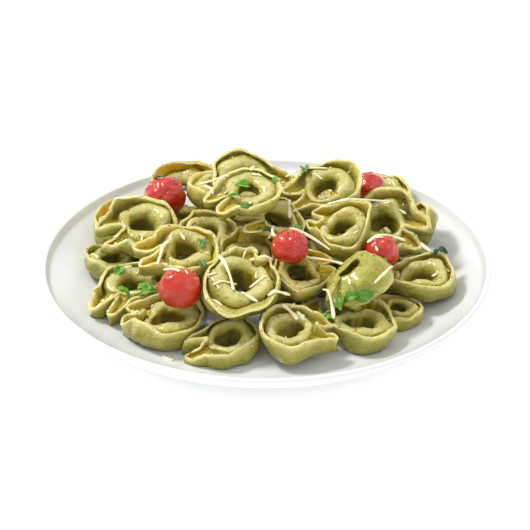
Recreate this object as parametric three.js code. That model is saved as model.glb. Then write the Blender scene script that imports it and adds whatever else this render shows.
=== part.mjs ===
// A plate of tortellini with cherry tomatoes: a round coupe plate and a heap of filled pasta rings on it.
// Millimetres, +Z up, origin at the middle of the plate's foot. -Y is the front of the plate.
import * as THREE from "three";

// ---- Driving dimensions ----

const PLATE = {
  radius: 127,
  height: 24,
  wellRadius: 84, // where the flat middle starts to rise towards the rim
  floor: 5, // height of the eating surface in the middle
  rise: 2, // power of the curve from the well to the rim
  wall: 3.6,
  footRadius: 74,
  footWidth: 6,
  footDepth: 2,
  sides: 44,
};

const PASTA = {
  radius: 18.8, // outside of the collar, without the loops
  height: 16.6, // of the collar
  sheet: 1.9, // the two pressed sheets that the collar is made of
  hole: 6.4,
  groove: 0.8, // between the filled roll and the collar
  rollMiddle: 9.7, // height of the middle of the roll
  rollTall: 1.22, // how much taller the roll is than wide
  pinch: 12.3, // from the middle of the ring to where its two ends meet
  loop: 6.8, // length of the loops that the collar's ends fold out into, before what a piece adds
};

// How each tortellino differs from an even one, as shares of its radius and height, or in millimetres.
const UNEVEN = { oval: 0.04, corners: 0.025, roll: 0.05, top: 0.07, lean: 0.8, bend: 0.5 };

const REST_GAP = 0.35; // clear space left between pieces that touch
const PLATE_GAP = 0.6; // from the plate's smooth curve, which its facets cut a little above
const TOMATO_FIRMNESS = 5; // beside 1 for a tortellino
const PRESS_DEPTH = 9; // how deep into a piece a press is felt
const PRESS_ROUNDS = 12;
const NEIGHBOURS = 60; // pieces whose middles are farther apart than this can't touch
const WAYS = 240; // directions in which an overlap is measured

const MATERIALS = {
  plate: { color: 0xf2f3f1, roughness: 0.12 },
  pasta: { color: 0xb9b36a, roughness: 0.4 },
  tomato: { color: 0xc92a22, roughness: 0.15 },
};

// ---- Small helpers ----

const TURN = 2 * Math.PI;
const rad = THREE.MathUtils.degToRad;
const bell = (x) => Math.exp(-x * x);

// The same "random" number, from 0 to 1, each time for one seed and one use.
function chance(seed, use) {
  const wave = Math.sin(seed * 12.9898 + use * 78.233) * 43758.5453;
  return wave - Math.floor(wave);
}

// How far apart two turns are, the short way round.
const turnBetween = (a, b) => Math.abs(Math.atan2(Math.sin(a - b), Math.cos(a - b)));

// A closed surface from closed rings of points: each ring is joined to the next, and the last to the first.
function closedSweep(rings) {
  const across = rings[0].length;
  const index = [];
  rings.forEach((_, i) => {
    const here = i * across;
    const next = ((i + 1) % rings.length) * across;
    for (let j = 0; j < across; j++) {
      const k = (j + 1) % across;
      index.push(here + j, next + k, here + k);
      index.push(here + j, next + j, next + k);
    }
  });
  const geometry = new THREE.BufferGeometry();
  const positions = new THREE.Float32BufferAttribute(rings.flat(2), 3);
  geometry.setAttribute("position", positions);
  geometry.setIndex(index);
  return geometry;
}

// ---- One tortellino ----
// A filled roll runs round a hole, and the sealed edge of the pasta stands up round it as a collar. At the
// pinch, where the two ends meet, the roll thins out and each end of the collar folds out into a loop.

// Where the collar's outside runs, from the belly at turn 0 to the pinch at turn 180, on one side (1 or -1).
// turn is where round the roll each place is, and out how far it is along the loop, from 0 to 1.
function collar(side, shape) {
  const reach = side > 0 ? shape.loops[0] : shape.loops[1];
  const wave = (n, turn, use) => Math.cos(n * rad(turn) + TURN * chance(shape.seed, use));
  const round = [22, 66, 104, 136].map((degrees) => {
    const turn = side * degrees;
    const r = PASTA.radius * (1 + UNEVEN.oval * wave(2, turn, 1) + UNEVEN.corners * wave(3, turn, 2));
    return { x: r * Math.cos(rad(turn)), y: r * Math.sin(rad(turn)), turn, out: 0 };
  });
  const loop = (share, across, turn, out) => {
    const along = share * (reach + PASTA.loop);
    const spread = shape.split * side + shape.curl;
    const y = side * across + (spread * along) / 10;
    return { x: -PASTA.pinch - along, y, turn: side * turn, out };
  };
  return [...round, loop(0.68, 9.3, 157, 0.7), loop(1, 4.6, 167, 1)];
}

// One ring of points round the pasta: up the collar's outside, down its inside into the groove, over the
// filled roll and down the hole.
function section({ x, y, turn, out }, normal, shape) {
  const angle = rad(turn);
  const wave = (n, use) => Math.cos(n * angle + TURN * chance(shape.seed, use));
  const pinch = (1 - Math.cos(angle)) / 2; // 0 at the belly, 1 at the pinch
  const fullest = (PASTA.radius - PASTA.sheet - PASTA.groove - PASTA.hole) / 2;
  const roll = fullest * (1 - 0.48 * pinch ** 3) * (1 + UNEVEN.roll * wave(3, 3));
  const tall = PASTA.rollTall * roll;
  const middle = PASTA.hole + roll;
  const centre = PASTA.rollMiddle + shape.lift * wave(1, 4) - 0.8 * pinch;
  const brim = shape.brim[1] * bell(turnBetween(angle, rad(shape.brim[0] - shape.pinch - 180)) / 0.9);
  const upright = PASTA.height * shape.tall * (1 - 0.08 * pinch + UNEVEN.top * wave(2, 5)) - 0.5 * brim;
  const top = upright * (1 - out * shape.droop[turn > 0 ? 0 : 1]);
  const flare = shape.flare + UNEVEN.lean * wave(2, 6) + UNEVEN.bend * wave(3, 7) + brim;
  const foot = -4.2 + 3.4 * out; // the wall curves in under the roll
  // the collar leaves the roll towards the loops, and the groove gets deeper
  const opened = THREE.MathUtils.clamp((pinch - 0.6) / 0.3, 0, 1);
  const groove = centre + 2 - 3 * opened;

  const wall = (along, z) => [x + normal[0] * along, y + normal[1] * along, z];
  const ring = (r, z) => [r * Math.cos(angle), r * Math.sin(angle), z];
  const points = [
    wall(foot, 0.12 * top + 3 * out),
    wall(0.6 * (1 - out), 0.5 * top + out),
    wall(flare, top),
    wall(flare - PASTA.sheet, top - 0.3),
    wall(-PASTA.sheet - 0.4 * (1 - out), groove),
    ring(middle + 0.7 * roll, centre + 0.8 * tall),
    ring(middle - 0.5 * roll, centre + 0.85 * tall),
    ring(middle - roll, 0.3 * centre),
  ];
  return points.map(([px, py, pz]) => [px, py * shape.oval, pz]);
}

function tortelliniGeometry(shape) {
  const end = { x: -PASTA.pinch, y: 0, turn: 180, out: 0 };
  const stops = [...collar(-1, shape).reverse(), ...collar(1, shape), end];
  const rings = stops.map((stop, i) => {
    const before = stops.at(i - 1);
    const after = stops[(i + 1) % stops.length];
    const [dx, dy] = [after.x - before.x, after.y - before.y];
    const length = Math.hypot(dx, dy);
    return section(stop, [dy / length, -dx / length], shape);
  });
  return closedSweep(rings);
}

// ---- The plate ----

function plateFloor(r) {
  const up = Math.max(r - PLATE.wellRadius, 0) / (PLATE.radius - PLATE.wellRadius);
  return PLATE.floor + (PLATE.height - PLATE.floor) * up ** PLATE.rise;
}

function plateGeometry() {
  const p = PLATE;
  const slope = [0, 1, 2, 3].map((i) => p.wellRadius + (i * (p.radius - 2 - p.wellRadius)) / 4);
  const foot = p.footRadius - p.footWidth;
  const outline = [
    [0, p.footDepth - 0.6],
    [foot - 2, p.footDepth - 0.6],
    [foot, 0],
    [p.footRadius, 0],
    ...slope.map((r) => [r + 1.5, plateFloor(r) - p.wall + 0.6]),
    [p.radius, p.height - 1.6],
    [p.radius - 1.8, p.height],
    ...slope.reverse().map((r) => [r, plateFloor(r)]),
    [0, p.floor],
  ];
  const profile = outline.map(([r, z]) => new THREE.Vector2(r, z));
  return new THREE.LatheGeometry(profile, p.sides).rotateX(Math.PI / 2);
}

// ---- The heap ----
// at: where the piece lies, x and y. pinch: the way its loops point, in degrees from +X towards +Y.
// A third number in at is the height of its underside's middle; without one it lies on the plate.
// lean: the way its open side leans over, in degrees from +X towards +Y, and how far.

// loops: what the two loops add to their length. split: how much they part. curl: how much both bend to one
// side. droop: how much of its height each one loses at its tip.
const LOOPS = { loops: [6, 6], split: 1, curl: 0, droop: [0.25, 0.25] };
// flare: how far the collar leans out. brim: the way it flops down, in degrees like pinch, and how far.
const COLLAR = { flare: 0.3, tall: 1, brim: [0, 0] };
// lift: how far the roll dips and rises inside the collar.
const PLAIN = { size: 1, oval: 1, lift: 0.6, lean: [0, 0], ...COLLAR, ...LOOPS };

const HEAP = [
  // on the plate: the front row, then the ones round the edge, then the middle and the back
  // front left
  {
    at: [-21, -68], pinch: 195, lean: [270, 10], size: 0.98,
    loops: [7, 7], flare: -0.5, droop: [0.1, 0.45],
  },
  { at: [13, -69], pinch: 2, lean: [275, 8], tall: 1.12, loops: [5, 6] }, // front middle
  // left of the front
  { at: [-52, -53], pinch: 165, lean: [280, 6], tall: 1.05, loops: [4, 2], size: 1.16, oval: 0.92 },
  // right of the front
  { at: [49, -53], pinch: 100, lean: [285, 8], size: 1.14, tall: 1, oval: 0.92, loops: [2, 3] },
  { at: [-73, -23], pinch: 235, lean: [250, 4], loops: [7, 7], size: 1.08 }, // left edge, front
  { at: [87, -11], pinch: 175, lean: [262, 5] }, // right edge, front
  { at: [71, -36], pinch: 150, size: 0.8, tall: 0.9 }, // between the two on the right
  { at: [15, -45, 6], pinch: 60, lean: [270, 8], size: 0.88, tall: 0.9 }, // behind the front middle
  { at: [-87, 11], pinch: 30, size: 0.88 }, // left edge, middle
  { at: [-84, 46], pinch: 80, lean: [290, 10], size: 0.95 }, // left edge, back
  // back left, open to the front
  { at: [-47, 79], pinch: 310, lean: [265, 42], size: 1.05, tall: 1.15, flare: 2, loops: [2, 2] },
  // right edge, on its side
  { at: [93, 38], pinch: 100, lean: [185, 55], size: 0.85, loops: [2, 2] },
  { at: [68, 79], pinch: 260, lean: [260, 20], size: 0.92, loops: [2, 3] }, // back right
  { at: [68, 10], pinch: 20, size: 0.85 }, // under the right side
  { at: [-38, -12], pinch: 30, size: 0.95 },
  { at: [35, 2], pinch: 200, size: 0.9 },
  { at: [-2, 2], pinch: 100, size: 0.95 },
  { at: [-50, 26], pinch: 330, size: 0.95 },
  { at: [-16, 42], pinch: 20, size: 0.95 },
  { at: [22, 38], pinch: 280, size: 0.95 },
  { at: [-56, 56], pinch: 200, size: 0.85 },
  { at: [-6, 80], pinch: 70 },
  { at: [32, 76], pinch: 120, size: 0.95 },
  { at: [58, 44], pinch: 120, size: 0.85 },
  // the second layer
  { at: [17, -23, 18], pinch: 20, lean: [280, 16], size: 1.04, loops: [3, 3] }, // middle, low
  { at: [-9, -2, 17], pinch: 90, lean: [270, 12], size: 0.9 }, // under the middle
  // the wide one in front
  {
    at: [-12, -43, 18], pinch: 60, lean: [268, 14], size: 1.28,
    oval: 0.95, tall: 0.95, loops: [2, 2], brim: [265, 4],
  },
  // right of the wide one, upside down
  { at: [42, -38, 35], pinch: 350, lean: [205, 207], tall: 1.1, loops: [2, 1] },
  { at: [-47, -9, 21], pinch: 190, lean: [285, 12], loops: [7, 6], size: 1.04 }, // left, middle
  // left, back
  { at: [-72, 23, 21], pinch: 205, lean: [300, 20], loops: [5, 7], size: 1.05, brim: [300, 2] },
  { at: [-34, 17, 19], pinch: 340, lean: [265, 10] }, // between left and top
  { at: [72, 28, 21], pinch: 330, lean: [235, 30], size: 1.1, tall: 1.1 }, // right, back
  { at: [42, 8, 30], pinch: 150, lean: [270, 18], loops: [6, 6], size: 1.08 }, // right of the top
  { at: [-26, 62, 24], pinch: 0, lean: [90, 10], size: 0.95 },
  { at: [8, 60, 20], pinch: 90, size: 0.95 },
  { at: [44, 60, 19], pinch: 90, size: 0.9 },
  // on top
  { at: [33, 40, 38], pinch: 200, lean: [265, 25] }, // top right
  { at: [5, 12, 37], pinch: 200, lean: [330, 25], size: 0.95 }, // middle of the top
  { at: [-10, 50, 40], pinch: 350, lean: [265, 30], loops: [7, 5], size: 1.08 }, // top, at the back
  { at: [-9, 20, 42], pinch: 215, lean: [250, 12], loops: [7, 7], size: 0.98 }, // top, in front
];

// Cherry tomatoes: where each one lies, its radius, and how flat it is.
const TOMATOES = [
  { at: [-59, 55, 34], radius: 12.3, flat: 0.95 },
  { at: [-46, -52, 34], radius: 12, flat: 0.97 },
  { at: [13, -24, 44], radius: 10.4, flat: 0.95 },
  { at: [64, -9, 33], radius: 10.2, flat: 0.95 },
  { at: [60, 64, 36], radius: 9.6, flat: 0.9 },
];

// ---- Laying the soft pieces on each other ----
// Every pair of pieces that would overlap is pressed flat along the plane where they overlap least.

// Directions spread evenly over a sphere.
const DIRECTIONS = Array.from({ length: WAYS }, (_, i) => {
  const z = 1 - (2 * i + 1) / WAYS;
  const turn = i * Math.PI * (3 - Math.sqrt(5));
  const across = Math.sqrt(1 - z * z);
  return new THREE.Vector3(across * Math.cos(turn), across * Math.sin(turn), z);
});

function vertices(geometry) {
  const at = geometry.getAttribute("position");
  return Array.from({ length: at.count }, (_, i) => new THREE.Vector3().fromBufferAttribute(at, i));
}

const farthest = (points, direction) => Math.max(...points.map((p) => p.dot(direction)));

// How deep two pieces overlap, and the direction from the first to the second in which that is least.
function overlap(a, b) {
  let least = { depth: Infinity };
  DIRECTIONS.forEach((direction, i) => {
    const apart = direction.dot(b.centre) - direction.dot(a.centre);
    const depth = a.reach[i] + b.reachBack[i] - apart;
    if (depth < least.depth) least = { depth, direction };
  });
  return least;
}

const lowestAt = (p) => plateFloor(Math.hypot(p.x, p.y)) + PLATE_GAP;

// Squeezes the side of a piece that reaches past a plane back to it, more the farther out it is.
function press(points, direction, limit) {
  const reach = farthest(points, direction);
  if (reach <= limit) return;
  const start = limit - PRESS_DEPTH;
  const squeeze = (limit - start) / (reach - start);
  points.forEach((p) => {
    const past = p.dot(direction) - start;
    if (past > 0) p.addScaledVector(direction, past * (squeeze - 1));
  });
}

// ---- Assembly ----

const plateful = new THREE.Group();

function add(name, geometry, { color, roughness }) {
  const material = new THREE.MeshStandardMaterial({ color, roughness, metalness: 0 });
  const mesh = new THREE.Mesh(geometry, material);
  mesh.name = name;
  plateful.add(mesh);
}

add("plate", plateGeometry(), MATERIALS.plate);

const pieces = [];

function lay(name, geometry, material, [x, y, z = 0], firmness) {
  geometry.translate(x, y, 0);
  const points = vertices(geometry);
  const centre = new THREE.Vector3(x, y, Math.max(z, ...points.map((p) => lowestAt(p) - p.z)));
  points.forEach((p) => {
    p.z += centre.z;
  });
  const reach = DIRECTIONS.map((d) => farthest(points, d) - centre.dot(d));
  const reachBack = DIRECTIONS.map((d) => farthest(points, d.clone().negate()) + centre.dot(d));
  pieces.push({ name, geometry, material, points, centre, reach, reachBack, firmness, planes: [] });
}

HEAP.forEach((row, i) => {
  const shape = { ...PLAIN, seed: i + 1, ...row };
  const [towards, degrees] = shape.lean;
  const axis = new THREE.Vector3(-Math.sin(rad(towards)), Math.cos(rad(towards)), 0);
  const geometry = tortelliniGeometry(shape);
  geometry.scale(shape.size, shape.size, shape.size);
  geometry.rotateZ(rad(shape.pinch - 180));
  geometry.applyMatrix4(new THREE.Matrix4().makeRotationAxis(axis, rad(degrees)));
  const name = `tortellino_${String(i + 1).padStart(2, "0")}`;
  lay(name, geometry, MATERIALS.pasta, shape.at, 1);
});

TOMATOES.forEach(({ at, radius, flat }, i) => {
  const geometry = new THREE.SphereGeometry(radius, 8, 6);
  geometry.rotateX(Math.PI / 2);
  geometry.scale(1, 1, flat);
  lay(`tomato_${i + 1}`, geometry, MATERIALS.tomato, at, TOMATO_FIRMNESS);
});

pieces.forEach((a, i) => {
  pieces.slice(i + 1).forEach((b) => {
    if (a.centre.distanceTo(b.centre) > NEIGHBOURS) return;
    const { depth, direction } = overlap(a, b);
    const both = depth + REST_GAP;
    if (both <= 0) return;
    const k = DIRECTIONS.indexOf(direction);
    const share = b.firmness / (a.firmness + b.firmness);
    const plane = direction.dot(a.centre) + a.reach[k] - share * both;
    a.planes.push([direction, plane]);
    b.planes.push([direction.clone().negate(), -plane - REST_GAP]);
  });
});

pieces.forEach(({ name, geometry, material, points, planes }) => {
  for (let round = 0; round < PRESS_ROUNDS; round++) {
    planes.forEach(([direction, limit]) => press(points, direction, limit));
  }
  points.forEach((p) => {
    p.z = Math.max(p.z, lowestAt(p));
  });
  geometry.setFromPoints(points);
  add(name, geometry, material);
});

export default plateful;
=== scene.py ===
"""The looks of a plate of tortellini with cherry tomatoes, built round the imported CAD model."""
import math
import random

import bpy
import numpy as np
from mathutils import Matrix, Vector, noise
from mathutils.bvhtree import BVHTree


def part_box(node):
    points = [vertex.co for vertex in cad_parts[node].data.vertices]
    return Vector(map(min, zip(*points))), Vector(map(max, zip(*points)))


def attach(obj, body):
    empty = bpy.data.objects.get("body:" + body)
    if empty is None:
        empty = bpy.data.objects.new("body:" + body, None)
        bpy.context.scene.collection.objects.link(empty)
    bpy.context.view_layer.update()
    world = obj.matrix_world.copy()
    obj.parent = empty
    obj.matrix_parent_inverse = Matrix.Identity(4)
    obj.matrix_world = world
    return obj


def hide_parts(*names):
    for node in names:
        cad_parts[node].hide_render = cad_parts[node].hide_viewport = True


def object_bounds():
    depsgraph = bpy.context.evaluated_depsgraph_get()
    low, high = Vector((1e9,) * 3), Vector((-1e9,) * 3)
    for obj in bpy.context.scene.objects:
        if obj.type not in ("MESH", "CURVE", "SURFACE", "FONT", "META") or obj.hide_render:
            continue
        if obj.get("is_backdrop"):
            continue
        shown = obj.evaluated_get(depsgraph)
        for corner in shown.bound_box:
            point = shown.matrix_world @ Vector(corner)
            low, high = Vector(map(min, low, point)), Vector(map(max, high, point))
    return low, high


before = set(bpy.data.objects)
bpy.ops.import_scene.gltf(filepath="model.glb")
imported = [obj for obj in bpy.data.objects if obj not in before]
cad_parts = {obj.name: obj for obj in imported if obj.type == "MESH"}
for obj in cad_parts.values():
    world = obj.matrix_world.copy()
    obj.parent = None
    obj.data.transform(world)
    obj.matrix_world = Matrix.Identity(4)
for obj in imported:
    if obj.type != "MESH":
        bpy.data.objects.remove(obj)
CAD_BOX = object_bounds()
MM = 0.001
TURN = 2 * math.pi
noise.seed_set(23)  # without a seed, noise_vector differs from run to run


# ---- Meshes and node materials ----

def in_scene(name, data):
    """A new object that shows the data, linked into the scene."""
    thing = bpy.data.objects.new(name, data)
    bpy.context.scene.collection.objects.link(thing)
    return thing


def mesh_object(name, vertices, faces, material, smooth=True):
    """A mesh object from points in millimetres."""
    mesh = bpy.data.meshes.new(name)
    mesh.from_pydata((np.asarray(vertices) * MM).tolist(), [], faces)
    mesh.materials.append(material)
    if smooth:
        mesh.shade_smooth()
    else:
        mesh.shade_flat()
    return in_scene(name, mesh)


def stands_for(piece, slot, *nodes):
    """Puts a piece on the root body and hides the CAD nodes it replaces. The slot is not used."""
    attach(piece, "root")
    if nodes:
        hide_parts(*nodes)


def attribute(piece, name, values):
    """A number for each vertex, which the material reads by name."""
    layer = piece.data.attributes.new(name, "FLOAT", "POINT")
    layer.data.foreach_set("value", np.asarray(values, dtype=np.float32).ravel())


class Nodes:
    """A node material, with short calls for the nodes used here."""

    def __init__(self, name):
        self.material = bpy.data.materials.new(name)
        self.material.use_nodes = True
        self.tree = self.material.node_tree
        self.shader = self.tree.nodes["Principled BSDF"]

    def set(self, **values):
        """Constants on the shader's sockets, with _ for a space in a socket's name."""
        for key, value in values.items():
            self.shader.inputs[key.replace("_", " ")].default_value = value

    def feed(self, socket, value):
        """Links the value if it is an output, and sets it if it is a constant."""
        if isinstance(value, bpy.types.NodeSocket):
            self.tree.links.new(value, socket)
        else:
            socket.default_value = value

    def node(self, kind, **inputs):
        """A new node with its inputs fed."""
        node = self.tree.nodes.new(kind)
        for key, value in inputs.items():
            self.feed(node.inputs[key.replace("_", " ")], value)
        return node

    def place(self):
        """Where a point is on its object, in metres."""
        return self.node("ShaderNodeTexCoord").outputs["Object"]

    def number(self, name):
        """A number that attribute() gave to each vertex."""
        node = self.node("ShaderNodeAttribute")
        node.attribute_name = name
        return node.outputs["Fac"]

    def noise(self, size_mm, detail=3.0, rough=0.55, distortion=0.0, vector=None):
        """Noise whose blotches are about size_mm across, from 0 to 1."""
        return self.node(
            "ShaderNodeTexNoise", Vector=vector or self.place(), Scale=1 / (size_mm * MM),
            Detail=detail, Roughness=rough, Distortion=distortion,
        ).outputs["Fac"]

    def spots(self, size_mm, share):
        """1 inside scattered spots and 0 between them. share is a spot's radius in its cell."""
        cells = self.node("ShaderNodeTexVoronoi", Vector=self.place(), Scale=1 / (size_mm * MM))
        return self.steps(cells.outputs["Distance"], share * 0.7, share, 1.0, 0.0)

    def steps(self, value, low, high, to_low=0.0, to_high=1.0):
        """Takes low to to_low and high to to_high, evenly between them and level beyond."""
        node = self.node(
            "ShaderNodeMapRange", Value=value, From_Min=low, From_Max=high, To_Min=to_low, To_Max=to_high,
        )
        node.clamp = True
        return node.outputs["Result"]

    def mix(self, factor, first, second):
        """The first colour where the factor is 0, the second where it is 1."""
        node = self.tree.nodes.new("ShaderNodeMix")
        node.data_type = "RGBA"
        for socket, value in (("Factor_Float", factor), ("A_Color", first), ("B_Color", second)):
            target = next(s for s in node.inputs if s.identifier == socket)
            self.feed(target, (*value, 1) if isinstance(value, tuple) else value)
        return next(s for s in node.outputs if s.identifier == "Result_Color")

    def math(self, operation, first, second):
        node = self.tree.nodes.new("ShaderNodeMath")
        node.operation = operation
        self.feed(node.inputs[0], first)
        self.feed(node.inputs[1], second)
        return node.outputs[0]

    def tint(self, body, mask, share, colour):
        """The body's colour, taken a share of the way to another colour where the mask is 1."""
        return self.mix(self.math("MULTIPLY", mask, share), body, colour)

    def bump(self, height, depth_mm):
        node = self.node("ShaderNodeBump", Height=height, Strength=1.0, Distance=depth_mm * MM)
        self.feed(self.shader.inputs["Normal"], node.outputs["Normal"])

    def colour(self, output):
        self.feed(self.shader.inputs["Base Color"], output)

    def roughness(self, value, low, high):
        """Roughness from low to high, following a noise."""
        self.feed(self.shader.inputs["Roughness"], self.steps(value, 0.3, 0.7, low, high))


# ---- Materials ----
# Colours are linear red, green and blue. Sizes of noise are in millimetres.

GLAZE_WHITES = (0.755, 0.77, 0.785), (0.79, 0.805, 0.82)
# the dough's own colours, and colours for painted light: painted shade low on each piece, in creases and in
# folds; painted highlights on the roll's crest and the collar's rim; a painted yellow glow inside the loops
# and on the collar's inner wall
DOUGH_AND_PAINTED_LIGHT = dict(
    green=(0.25, 0.27, 0.014), yellow=(0.50, 0.37, 0.020), blotch=(0.62, 0.55, 0.10),
    low=(0.17, 0.165, 0.007), mottle=(0.78, 0.71, 0.24), streak=(0.20, 0.235, 0.022),
    stain=(0.58, 0.34, 0.05), painted_crease_shade=(0.20, 0.21, 0.014), painted_crest_highlight=(0.70, 0.66, 0.35),
    rim=(0.92, 0.85, 0.41), fold=(0.09, 0.070, 0.002), inside=(0.56, 0.38, 0.014),
    painted_glow_lining=(0.80, 0.56, 0.03), herb=(0.10, 0.11, 0.012), spice=(0.28, 0.09, 0.015),
)
TOMATO_REDS = (0.42, 0.009, 0.003), (0.62, 0.032, 0.006)
TOMATO_FLECK = (0.90, 0.25, 0.10)
CHEESE_CREAMS = (0.80, 0.71, 0.42), (0.90, 0.84, 0.58)
FRESH_GREENS = (0.09, 0.26, 0.012), (0.24, 0.50, 0.035)
WILTED_GREEN = (0.035, 0.075, 0.015)
CHILLI_REDS = (0.55, 0.06, 0.01), (0.80, 0.36, 0.06)
PEPPER_BROWNS = (0.02, 0.014, 0.008), (0.16, 0.10, 0.05)
TABLE_GREYS = (0.93, 0.93, 0.93), (0.95, 0.95, 0.95)


def glaze():
    m = Nodes("white_glaze")
    m.colour(m.mix(m.noise(60, detail=2), *GLAZE_WHITES))
    m.roughness(m.noise(25), 0.10, 0.16)
    m.set(IOR=1.5, Coat_Weight=0.3, Coat_Roughness=0.05)
    m.bump(m.noise(9, detail=1), 0.02)
    return m.material


def pasta():
    """Green dough, wet, with painted highlights on the crests and rims, painted shade in the creases, folds
    and low parts, and a painted glow of light through the dough inside the loops and the collar.
    """
    m = Nodes("spinach_pasta")
    blotch = m.steps(m.noise(12, detail=4, distortion=0.4), 0.32, 0.68)
    body = m.mix(m.number("tone"), DOUGH_AND_PAINTED_LIGHT["green"], DOUGH_AND_PAINTED_LIGHT["yellow"])
    body = m.tint(body, blotch, 0.65, DOUGH_AND_PAINTED_LIGHT["blotch"])
    # painted shade: darker towards the bottom of each piece, where less light reaches
    body = m.tint(body, m.number("low"), m.steps(m.noise(9, detail=3), 0.3, 0.7, 0.5, 0.95), DOUGH_AND_PAINTED_LIGHT["low"])
    mottle = m.steps(m.noise(1.2, detail=6, rough=0.8), 0.42, 0.66)
    body = m.tint(body, mottle, 0.35, DOUGH_AND_PAINTED_LIGHT["mottle"])
    streak = m.steps(m.noise(6, detail=5, rough=0.6, distortion=1.2), 0.48, 0.66)
    body = m.tint(body, streak, 0.6, DOUGH_AND_PAINTED_LIGHT["streak"])
    stain = m.steps(m.noise(8, detail=5, rough=0.7), 0.58, 0.72)
    body = m.tint(body, stain, 0.5, DOUGH_AND_PAINTED_LIGHT["stain"])

    # painted shade of creases drawn out along the sheet, in millimetres along and up it, different on each
    # piece
    along = m.node("ShaderNodeCombineXYZ", X=m.number("run"), Y=m.number("rise"), Z=m.number("tone"))
    sheet = m.node("ShaderNodeMapping", Vector=along.outputs["Vector"], Scale=(0.10, 0.45, 40))
    painted_crease_shade = m.noise(1000, detail=3, rough=0.5, distortion=0.8, vector=sheet.outputs["Vector"])
    body = m.mix(m.steps(painted_crease_shade, 0.50, 0.75, 0, 0.35), body, DOUGH_AND_PAINTED_LIGHT["painted_crease_shade"])

    # painted highlight: the top of the filled roll paler, where the light falls
    body = m.tint(body, m.number("painted_crest_highlight"), m.steps(m.noise(5, detail=4), 0.3, 0.7, 0.2, 0.7), DOUGH_AND_PAINTED_LIGHT["painted_crest_highlight"])
    # painted highlight: the collar's rim paler cream, where it catches the light
    body = m.tint(body, m.number("rim"), 0.65, DOUGH_AND_PAINTED_LIGHT["rim"])
    # painted shade: dark in the groove between collar and roll, down the hole and round the foot, where shade
    # falls
    deep = m.math("POWER", m.number("fold"), 1.6)
    body = m.tint(body, deep, m.steps(m.noise(7, detail=2), 0.25, 0.75, 0.6, 0.95), DOUGH_AND_PAINTED_LIGHT["fold"])
    # painted glow: yellow light shining through the thin dough inside the loops
    body = m.tint(body, m.number("inside"), 0.85, DOUGH_AND_PAINTED_LIGHT["inside"])
    # painted glow: yellow light shining through the collar onto its inner wall, strongest on the yellower
    # pieces
    lit = m.math("MULTIPLY", m.number("painted_glow_lining"), m.steps(m.number("tone"), 0.55, 0.9, 0.15, 1.0))
    body = m.tint(body, lit, 0.85, DOUGH_AND_PAINTED_LIGHT["painted_glow_lining"])
    body = m.tint(body, m.spots(2.1, 0.17), 0.5, DOUGH_AND_PAINTED_LIGHT["herb"])
    body = m.tint(body, m.spots(6.1, 0.09), 0.8, DOUGH_AND_PAINTED_LIGHT["spice"])
    m.colour(body)
    m.roughness(m.noise(4, detail=3), 0.28, 0.5)
    m.set(
        Subsurface_Weight=0.35, Subsurface_Radius=(1.0, 0.8, 0.12), Subsurface_Scale=2.5 * MM,
        Specular_IOR_Level=0.28, Coat_Weight=0.7, Coat_Roughness=0.11, Coat_IOR=1.36, IOR=1.42,
    )
    grain = m.math("ADD", m.noise(1.0, detail=5, rough=0.65), m.math("MULTIPLY", m.noise(2.6, detail=3), 2.0))
    m.bump(grain, 0.38)
    return m.material


def tomato_skin():
    m = Nodes("tomato_skin")
    body = m.mix(m.steps(m.noise(9, detail=2), 0.3, 0.7), *TOMATO_REDS)
    m.colour(m.tint(body, m.spots(1.3, 0.16), 0.35, TOMATO_FLECK))
    m.roughness(m.noise(3), 0.16, 0.30)
    m.set(
        Subsurface_Weight=0.35, Subsurface_Radius=(1.0, 0.18, 0.10), Subsurface_Scale=3.0 * MM,
        IOR=1.42, Coat_Weight=0.6, Coat_Roughness=0.05,
    )
    m.bump(m.noise(1.0, detail=3), 0.2)
    return m.material


def cheese_crumb():
    m = Nodes("shredded_cheese")
    m.colour(m.mix(m.noise(4), *CHEESE_CREAMS))
    m.roughness(m.noise(1.2), 0.38, 0.6)
    m.set(Subsurface_Weight=0.4, Subsurface_Radius=(1.0, 0.85, 0.5), Subsurface_Scale=1.5 * MM)
    m.bump(m.noise(0.6, detail=4), 0.12)
    return m.material


def leaf():
    m = Nodes("basil_leaf")
    fresh = m.mix(m.noise(3.5, detail=3), *FRESH_GREENS)
    m.colour(m.mix(m.number("wilt"), fresh, WILTED_GREEN))
    m.roughness(m.noise(2), 0.25, 0.45)
    m.set(Subsurface_Weight=0.25, Subsurface_Radius=(0.3, 1.0, 0.1), Subsurface_Scale=1.2 * MM)
    m.bump(m.noise(1.1, detail=3), 0.15)
    return m.material


def flake():
    m = Nodes("chilli_flake")
    m.colour(m.mix(m.steps(m.noise(5, detail=1), 0.42, 0.58), *CHILLI_REDS))
    m.roughness(m.noise(0.8), 0.3, 0.5)
    m.set(Coat_Weight=0.3)
    return m.material


def peppercorn():
    m = Nodes("cracked_pepper")
    m.colour(m.mix(m.noise(0.8), *PEPPER_BROWNS))
    m.roughness(m.noise(0.5), 0.5, 0.8)
    return m.material


def table():
    m = Nodes("pale_table")
    m.colour(m.mix(m.noise(300, detail=1), *TABLE_GREYS))
    m.set(Roughness=0.9, Specular_IOR_Level=0.1, Emission_Color=(1, 1, 1, 1), Emission_Strength=0.3)
    return m.material


# ---- Plate ----
# Lengths from here on are in millimetres.

plate_low, plate_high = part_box("plate")
PLATE_RADIUS = (plate_high[0] - plate_low[0]) / 2 / MM
PLATE_HEIGHT = plate_high[2] / MM
WELL_RADIUS = 0.661 * PLATE_RADIUS  # where the flat middle ends
FLOOR_HEIGHT = 5.0
PLATE_WALL = 3.6
FOOT_RADIUS = 74.0
LIP_ROUND = 1.9


def plate_floor(r):
    """How high the plate's upper side is, at a distance from its middle."""
    up = np.maximum(np.asarray(r) - WELL_RADIUS, 0) / (PLATE_RADIUS - WELL_RADIUS)
    return FLOOR_HEIGHT + (PLATE_HEIGHT - FLOOR_HEIGHT) * up ** 2


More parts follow.
